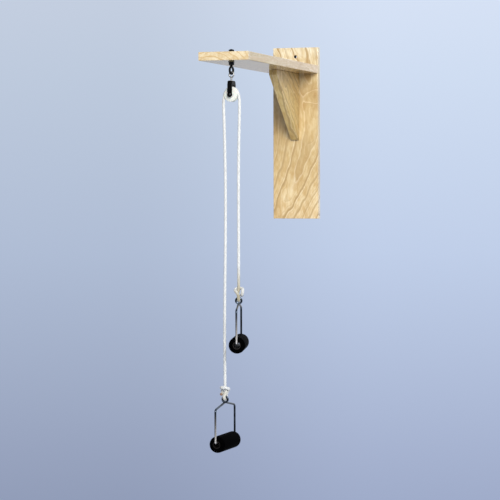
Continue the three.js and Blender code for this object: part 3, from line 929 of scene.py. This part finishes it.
def threaded_rod(diameter, low, high):
    """A rod about Z with a rolled thread: a cone-ended core with a helical ridge"""
    core = diameter / 2 - thread_depth
    rod = turned([
        (core - thread_depth, low), (core, low + thread_depth), (core, high - thread_depth),
        (core - thread_depth, high),
    ], sides=32)
    steps_in_turn = 24
    turns = (high - low - 2 * thread_pitch) / thread_pitch
    helix = []
    for i in range(round(turns * steps_in_turn) + 1):
        angle = i / steps_in_turn * full_turn
        rise = low + thread_pitch + i / steps_in_turn * thread_pitch
        helix.append(Vector((core * math.cos(angle), core * math.sin(angle), rise)))
    ridge = wire_piece(helix, 2 * thread_depth)
    return [rod, ridge]


def joined(pieces):
    """Makes one object of several"""
    bpy.ops.object.select_all(action="DESELECT")
    for piece in pieces:
        piece.select_set(True)
    bpy.context.view_layer.objects.active = pieces[0]
    bpy.ops.object.join()
    pieces[0].select_set(False)
    return pieces[0]


def eye_bolt():
    """The threaded shank runs down into an eye bent from the same rod"""
    eye_centre = bolt_low.z + eye_wire / 2 + eye_radius
    shank_end = eye_centre + eye_radius
    neck_top = shank_end + eye_wire
    eye = wire_ring(eye_radius, eye_wire, height=eye_centre, start=quarter_turn)
    moved(eye, Matrix.Rotation(eye_turn, 4, "Z"))
    neck = turned([
        (bolt_shank / 2, neck_top), (bolt_shank / 2, shank_end + eye_wire / 2),
        (eye_wire * 0.56, shank_end + eye_wire * 0.2), (eye_wire * 0.42, shank_end - eye_wire * 0.15),
    ], sides=32)
    combined(eye, neck, "UNION")
    bolt = joined([eye, *threaded_rod(bolt_shank, neck_top - 2 * thread_pitch, bolt_high.z)])
    moved(bolt, on_bolt)
    finished(bolt, "bent_eye_bolt", dark_steel)
    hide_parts("eye_bolt")
    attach(bolt, "bracket")


def ring_washer(node):
    """A flat washer with rolled edges"""
    low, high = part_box(node)
    inner = bolt_shank / 2 + washer_play
    outer = (high.x - low.x) / 2
    edge = 0.0002
    washer = turned([
        (inner, low.z), (outer - edge, low.z), (outer, low.z + edge), (outer, high.z - edge),
        (outer - edge, high.z), (inner, high.z), (inner, low.z),
    ], hollow=True)
    moved(washer, on_bolt)
    finished(washer, node + "_ring", dark_steel)
    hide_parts(node)
    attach(washer, "bracket")


def hex_nut(node):
    """A hexagon nut, chamfered on both faces"""
    low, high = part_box(node)
    corner = (high.x - low.x) / 2
    height = high.z - low.z
    bpy.ops.mesh.primitive_cylinder_add(
        vertices=6, radius=corner, depth=height, rotation=(0, 0, quarter_turn)
    )
    nut = bpy.context.object
    bpy.ops.object.transform_apply(rotation=True)
    nut.select_set(False)
    flat = corner * math.cos(math.radians(30))
    past_corner = corner * 1.01
    chamfer = 0.0008
    dome = turned([
        (flat, -height / 2), (past_corner, -height / 2 + chamfer), (past_corner, height / 2 - chamfer),
        (flat, height / 2),
    ])
    combined(nut, dome, "INTERSECT")
    bore_radius = bolt_shank / 2 + nut_play
    bore = turned([(bore_radius, -height), (bore_radius, height)], sides=48)
    combined(nut, bore, "DIFFERENCE")
    rounded_by(nut, nut_edge, segments=2)
    moved(nut, Matrix.Translation((0, bolt_place.y, (low.z + high.z) / 2)))
    finished(nut, node.replace("nut", "hex_nut"), dark_steel)
    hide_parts(node)
    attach(nut, "bracket")


eye_bolt()
for washer_node in ("top_washer", "lower_washer"):
    ring_washer(washer_node)
for nut_node in ("top_nut", "lower_nut"):
    hex_nut(nut_node)

# Swivel, block and sheave

swivel_wire = 0.003
swivel_radius = 0.0058
swivel_stem = 0.004
swivel_head = 0.008
swivel_head_depth = 0.0026


def swivel_eye():
    """A ring that hangs in the bolt's eye, on a stem with a peened head inside the block"""
    low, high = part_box("swivel_eye")
    ring_centre = high.z - swivel_wire / 2 - swivel_radius
    eye = wire_ring(swivel_radius, swivel_wire, start=quarter_turn)
    moved(eye, Matrix.Translation((0, 0, ring_centre)) @ Matrix.Rotation(quarter_turn + eye_turn, 4, "Z"))
    stem_top = ring_centre - swivel_radius + swivel_wire * 0.2
    stem = turned([
        (swivel_head / 4, low.z), (swivel_head / 2 - 0.0004, low.z + 0.0006),
        (swivel_head / 2, low.z + swivel_head_depth / 2), (swivel_head / 2, low.z + swivel_head_depth),
        (swivel_stem / 2, low.z + swivel_head_depth), (swivel_stem / 2, stem_top - 0.002),
        (swivel_stem * 0.6, stem_top - 0.0008), (swivel_stem * 0.5, stem_top),
    ], sides=40)
    combined(eye, stem, "UNION")
    moved(eye, on_bolt)
    finished(eye, "swivel_ring_and_stem", zinc_steel)
    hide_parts("swivel_eye")
    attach(eye, "swivel")


crown_width = 0.0108
crown_height = 0.012
leg_thickness = 0.0044
foot_diameter = 0.0114
block_voxel = 0.00035
crown_edge = 0.0034
leg_width = crown_width * 0.96
leg_edge = 0.0009


def rounded_block(size, place, edge):
    """A block with soft edges, at its size and place"""
    bpy.ops.mesh.primitive_cube_add(size=1, scale=size, location=place)
    block = bpy.context.object
    bpy.ops.object.transform_apply(location=True, scale=True)
    block.select_set(False)
    rounded_by(block, edge, segments=4)
    return block


def pulley_housing():
    """The block's casting: a crown with soft shoulders over two legs that swell to round feet"""
    low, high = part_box("pulley_housing")
    centre = (low + high) / 2
    depth = high.y - low.y
    leg_top = high.z - crown_height / 2  # in the crown's middle
    parts = [rounded_block((crown_width, depth, crown_height), (0, centre.y, leg_top), crown_edge)]
    leg_half = leg_thickness / 2
    foot_radius = foot_diameter / 2
    for side in (-1, 1):
        y = centre.y + side * (depth - leg_thickness) / 2
        leg_size = (leg_width, leg_thickness, leg_top - axle_place.z)
        leg = rounded_block(leg_size, (0, y, (leg_top + axle_place.z) / 2), leg_edge)
        foot = turned([
            (foot_radius - leg_edge, -leg_half), (foot_radius, leg_edge - leg_half),
            (foot_radius, leg_half - leg_edge), (foot_radius - leg_edge, leg_half),
        ])
        moved(foot, along_y((0, y, axle_place.z)))
        parts += [leg, foot]
    casting = joined(parts)
    casting.data.remesh_voxel_size = block_voxel
    bpy.context.view_layer.objects.active = casting
    bpy.ops.object.voxel_remesh()
    changed(casting, "SMOOTH", factor=0.5, iterations=6)
    finished(casting, "cast_housing", enamel, smooth_below=80)
    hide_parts("pulley_housing")
    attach(casting, "pulley_block")


def sheave_axle():
    """The axle with a domed rivet head on each leg"""
    low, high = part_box("sheave_axle")
    half = (high.y - low.y) / 2
    head = 0.0038
    rise = 0.0014
    shank = 0.0025
    tip = 0.0004
    dome = [
        (tip, half), (head * 0.45, half - rise * 0.12), (head * 0.8, half - rise * 0.45),
        (head, half - rise * 0.95), (head, half - rise), (shank, half - rise),
    ]
    rivet = turned([(r, -h) for r, h in dome] + list(reversed(dome)), sides=48)
    moved(rivet, along_y(axle_place))
    finished(rivet, "riveted_axle", dark_steel)
    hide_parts("sheave_axle")
    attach(rivet, "pulley_block")


def sheave_wheel():
    """The rope wheel: a round groove between thin flanges, with a hub on each side"""
    low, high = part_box("sheave")
    hub_half = (high.y - low.y) / 2
    half = 0.0065
    flange = (high.x - low.x) / 2
    lip = 0.0013
    hub = 0.0065
    bore = 0.0028
    rope_play = 0.00035
    groove = rope_diameter / 2 + rope_play
    side = [
        (bore, -hub_half), (hub, -hub_half), (hub, -half), (flange - lip, -half),
        (flange - lip * 0.3, -half + lip * 0.3), (flange, -half + lip * 0.9), (flange, lip - half),
    ]
    round_groove = []
    groove_steps = 16
    for i in range(groove_steps + 1):
        angle = (i / groove_steps - 0.5) * math.pi
        round_groove.append((pitch_radius - groove * math.cos(angle), groove * math.sin(angle)))
    other_side = [(r, -h) for r, h in reversed(side)]
    wheel = turned([*side, *round_groove, *other_side, side[0]], sides=96, hollow=True)
    moved(wheel, along_y(axle_place))
    finished(wheel, "rope_wheel", nylon)
    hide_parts("sheave")
    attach(wheel, "sheave_wheel")


swivel_eye()
pulley_housing()
sheave_axle()
sheave_wheel()

# Handles

grip_length = 0.105
grip_radius = 0.01825
grip_round = 0.008
grip_lip = 0.0012
grip_lip_sink = 0.0002
grip_play = 0.0003
core_radius = 0.009
core_wall = 0.002
core_inset = 0.002
core_edge = 0.0004
wire_end_gap = 0.0012
wire_inside = 0.018
wire_play = 0.0003
wire_bend = 0.008
foot_bend = 0.0046
roof_rise = 0.011
handle_eye_hole = 0.008
eye_to_grip = 0.101
grip_drop = -knot_to_eye - eye_to_grip
foot_drop = grip_drop + core_radius - core_wall - wire_diameter / 2 - wire_play
highlight_down = 2.2  # painted highlight from 1 / 2.2 of the way down the leg, and fully from 2 / 2.2
highlight_beside = 3  # fades over the last third of the foot


def grip_place(name):
    """Where a handle's grip lies: its own Z axis is the grip's axis"""
    return places[name] @ along_y((0, 0, grip_drop))


def paint_highlight(bail, front, top):
    """Marks where the wire gets its painted highlight: not at all above, fully at the front leg's foot"""
    shares = []
    for vertex in bail.data.vertices:
        down = (top - vertex.co.z) / (top - foot_drop)
        beside = max(0, 1 - abs(vertex.co.y - front) / wire_inside)
        shares.append(min(1, max(0, highlight_down * down - 1)) * min(1, highlight_beside * beside))
    bail.data.attributes.new("painted_highlight", "FLOAT", "POINT").data.foreach_set("value", shares)


def stirrup(name):
    """The bail, bent from one wire, with a welded eye that stands across its plane"""
    ring_radius = (handle_eye_hole + wire_diameter) / 2
    eye_drop = -knot_to_eye - ring_radius
    leg = grip_length / 2 + wire_end_gap + wire_diameter / 2
    inside = grip_length / 2 - wire_inside
    apex = eye_drop - ring_radius
    roof = apex - roof_rise
    bail = wire_piece(bent_line([
        (-inside, foot_drop, 0), (-leg, foot_drop, foot_bend), (-leg, roof, wire_bend), (0, apex, wire_bend),
        (leg, roof, wire_bend), (leg, foot_drop, foot_bend), (inside, foot_drop, 0),
    ]), wire_diameter)
    eye = wire_ring(ring_radius, wire_diameter)
    moved(eye, Matrix.Translation((0, 0, eye_drop)) @ Matrix.Rotation(quarter_turn, 4, "Z"))
    combined(bail, eye, "UNION")
    paint_highlight(bail, -leg, roof)
    moved(bail, places[name])
    finished(bail, name + "_wire_stirrup", bright_wire)
    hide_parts(name + "_stirrup")
    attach(bail, name + "_handle")


def foam_grip(name):
    """The foam sleeve: a straight tube with well rounded ends that dip to the core"""
    half = grip_length / 2
    bore = core_radius + grip_play
    round_steps = 8
    ends = [(bore, half - grip_lip), (bore + grip_lip / 2, half - grip_lip_sink)]
    for i in range(round_steps + 1):
        angle = i / round_steps * quarter_turn
        ends.append((
            grip_radius - grip_round + grip_round * math.sin(angle),
            half - grip_round + grip_round * math.cos(angle),
        ))
    profile = [(r, -h) for r, h in ends] + list(reversed(ends)) + [(bore, grip_lip - half)]
    sleeve = turned(profile, sides=80, hollow=True)
    moved(sleeve, grip_place(name))
    finished(sleeve, name + "_foam_sleeve", foam)
    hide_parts(name + "_grip")
    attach(sleeve, name + "_grip_roller")


def core_tube(name):
    """The plastic tube on which the foam sleeve sits and turns"""
    half = grip_length / 2 - core_inset
    inner = core_radius - core_wall
    tube = turned([
        (inner, -half), (core_radius - core_edge, -half), (core_radius, core_edge - half),
        (core_radius, half - core_edge), (core_radius - core_edge, half), (inner, half), (inner, -half),
    ], sides=48, hollow=True)
    moved(tube, grip_place(name))
    finished(tube, name + "_core_tube", plastic)
    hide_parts(name + "_grip_core")
    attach(tube, name + "_grip_roller")


for side_name in ("left", "right"):
    stirrup(side_name)
    foam_grip(side_name)
    core_tube(side_name)

# Floor and light

floor_drop = 2.0
bpy.ops.mesh.primitive_circle_add(
    vertices=64, radius=3, fill_type="NGON", location=(0, -0.3, -floor_drop)
)
floor = bpy.context.object
floor.name = "floor"
floor_finish = bpy.data.materials.new("pale_floor")
floor_finish.use_nodes = True
floor_shader = floor_finish.node_tree.nodes["Principled BSDF"]
set_inputs(floor_finish.node_tree, floor_shader, {"Base Color": linear("#DDE2EA"), "Roughness": 0.9})
floor.data.materials.append(floor_finish)


def soft_light(offset, size, power, colour):
    """A large square lamp that faces the part, at an offset from its middle"""
    place = part_middle + Vector(offset)
    bpy.ops.object.light_add(type="AREA", location=place)
    lamp = bpy.context.object
    lamp.data.size = size
    lamp.data.energy = power
    lamp.data.color = linear(colour)[:3]
    lamp.visible_camera = False
    heading = part_middle - place
    lamp.rotation_euler = heading.to_track_quat("-Z", "Y").to_euler()


# A strong lamp high on the right, and a wide weak one on the camera's left
part_middle = Vector((0, -0.3, -0.1))
soft_light((1.75, -3.6, 1.5), size=1.9, power=218, colour="#FFFAF2")
soft_light((-1.0, -4.0, -0.1), size=3.0, power=16, colour="#FAF9FC")


def studio_world():
    """A pale blue backdrop, lighter high up and to the right. What lights the part is bright behind it
    and to its right, and dim on the camera's side"""
    world = bpy.data.worlds.new("pale_studio")
    world.use_nodes = True
    tree = world.node_tree
    heading = add_node(tree, "TexCoord", out="Generated")
    x, y, z = add_node(tree, "SeparateXYZ", inputs={0: heading}, out=None)
    up = add_node(tree, "MapRange", inputs={"Value": z, "From Min": -0.2, "From Max": 0.12})
    backdrop = add_node(
        tree, "ValToRGB", inputs={0: up},
        stops=[(0, "#929EBB"), (0.17, "#A0ACC8"), (0.5, "#B9C7E0"), (0.8, "#C8D5E9"), (1, "#D2DCEE")],
    )
    aside = add_node(
        tree, "MapRange", soft_step,
        {"Value": x, "From Min": -0.37, "From Max": -0.23, "To Min": 0.89, "To Max": 1.09},
    )
    sky = add_node(tree, "MapRange", inputs={"Value": z, "From Min": -0.35, "From Max": 0.25})
    glow = add_node(
        tree, "ValToRGB", inputs={0: sky}, stops=[(0, "#97969A"), (0.45, "#B6B8BF"), (1, "#DBDFE6")]
    )
    back = add_node(
        tree, "MapRange",
        inputs={"Value": y, "From Min": -0.6, "From Max": 0.7, "To Min": 0.07, "To Max": 1},
    )
    right = add_node(
        tree, "MapRange",
        inputs={"Value": x, "From Min": -0.7, "From Max": 0.7, "To Min": 0.7, "To Max": 1.9},
    )
    lit = add_node(tree, "Math", times, {0: back, 1: right})
    seen = add_node(tree, "LightPath", out="Is Camera Ray")
    set_inputs(tree, tree.nodes["Background"], {
        "Color": add_node(tree, "Mix", blended, {0: seen, 6: glow, 7: backdrop}, out=2),
        "Strength": add_node(tree, "Mix", between_values, {0: seen, 2: lit, 3: aside}),
    })
    bpy.context.scene.world = world


studio_world()
bpy.context.scene.view_settings.view_transform = "Standard"
